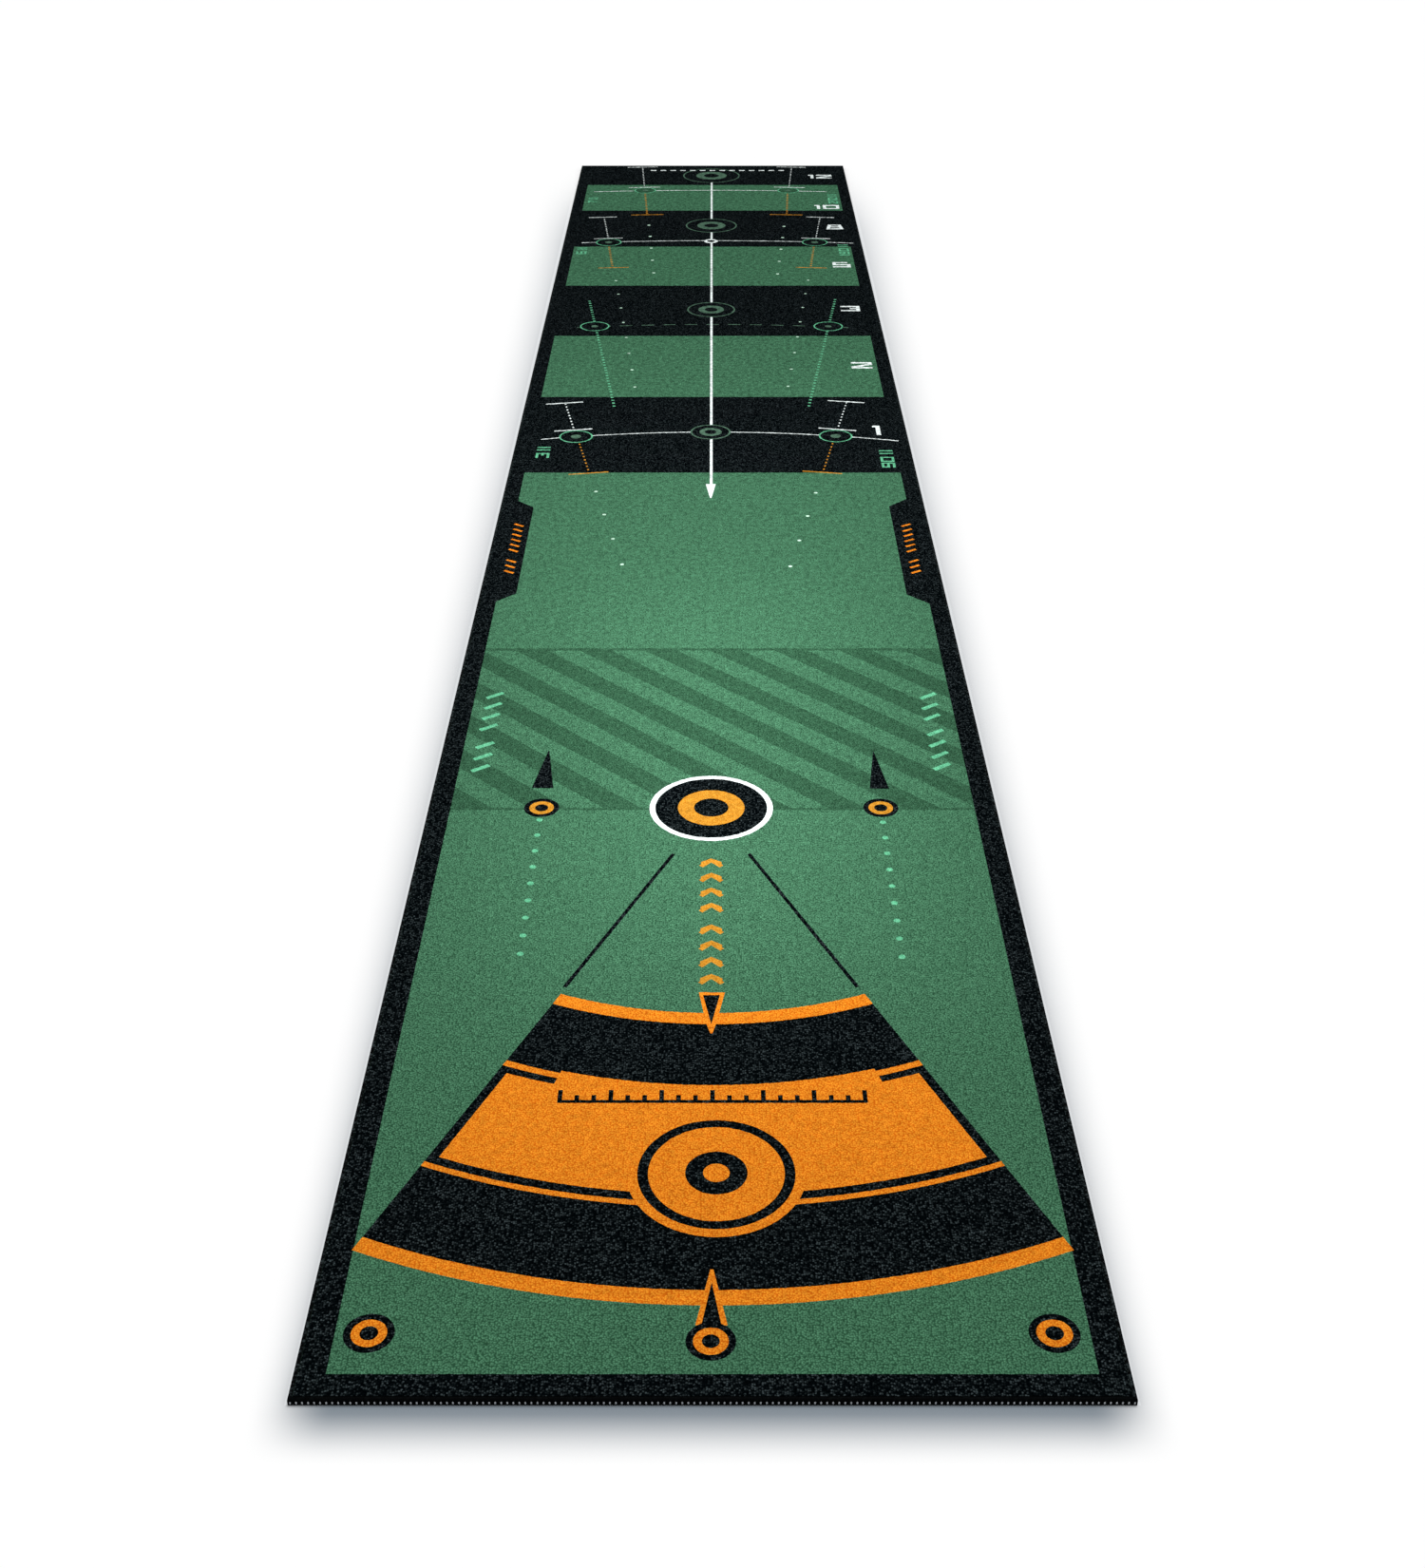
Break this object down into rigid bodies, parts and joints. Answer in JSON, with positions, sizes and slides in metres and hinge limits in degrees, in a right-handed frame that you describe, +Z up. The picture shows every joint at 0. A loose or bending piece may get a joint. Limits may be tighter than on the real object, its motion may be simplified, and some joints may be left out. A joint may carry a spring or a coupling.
{
  "type": "putting mat",
  "caption": "Long narrow roll-out putting mat: cut pile printed with a strike zone, aiming rings, arcs and distance bands, on a rubber backing inside a bound and stitched edge.",
  "frame": {"origin": "middle of the footprint, on the floor under the rubber backing", "axes": "+Y along the mat from the tee end to the far end, +X to the right of a player at the tee end, +Z up out of the pile"},
  "size_m": [0.5, 3, 0.0054],
  "materials": {
    "pile_green": "short cut pile, dyed green, with a fine grain",
    "pile_dark_green": "the same pile, dyed a darker green in stripes",
    "pile_black": "the same pile, dyed black, with lighter flecks",
    "pile_orange": "the same pile, dyed orange",
    "pile_mint": "the same pile, dyed light green",
    "pile_white": "the same pile, left white",
    "scrim": "plain woven grey cloth",
    "adhesive": "dried cream latex",
    "backing_rubber": "matt black foamed rubber",
    "edge_tape": "smooth woven black tape",
    "edge_thread": "light grey twisted thread"
  },
  "bodies": {
    "root": {"printed_pile": "pile_green", "woven_scrim": "scrim", "adhesive_coat": "adhesive", "rubber_backing": "backing_rubber", "front_edge_binding": "edge_tape", "rear_edge_binding": "edge_tape", "left_edge_binding": "edge_tape", "right_edge_binding": "edge_tape", "front_thread_row": "edge_thread", "rear_thread_row": "edge_thread", "left_thread_row": "edge_thread", "right_thread_row": "edge_thread"}
  },
  "joints": []
}
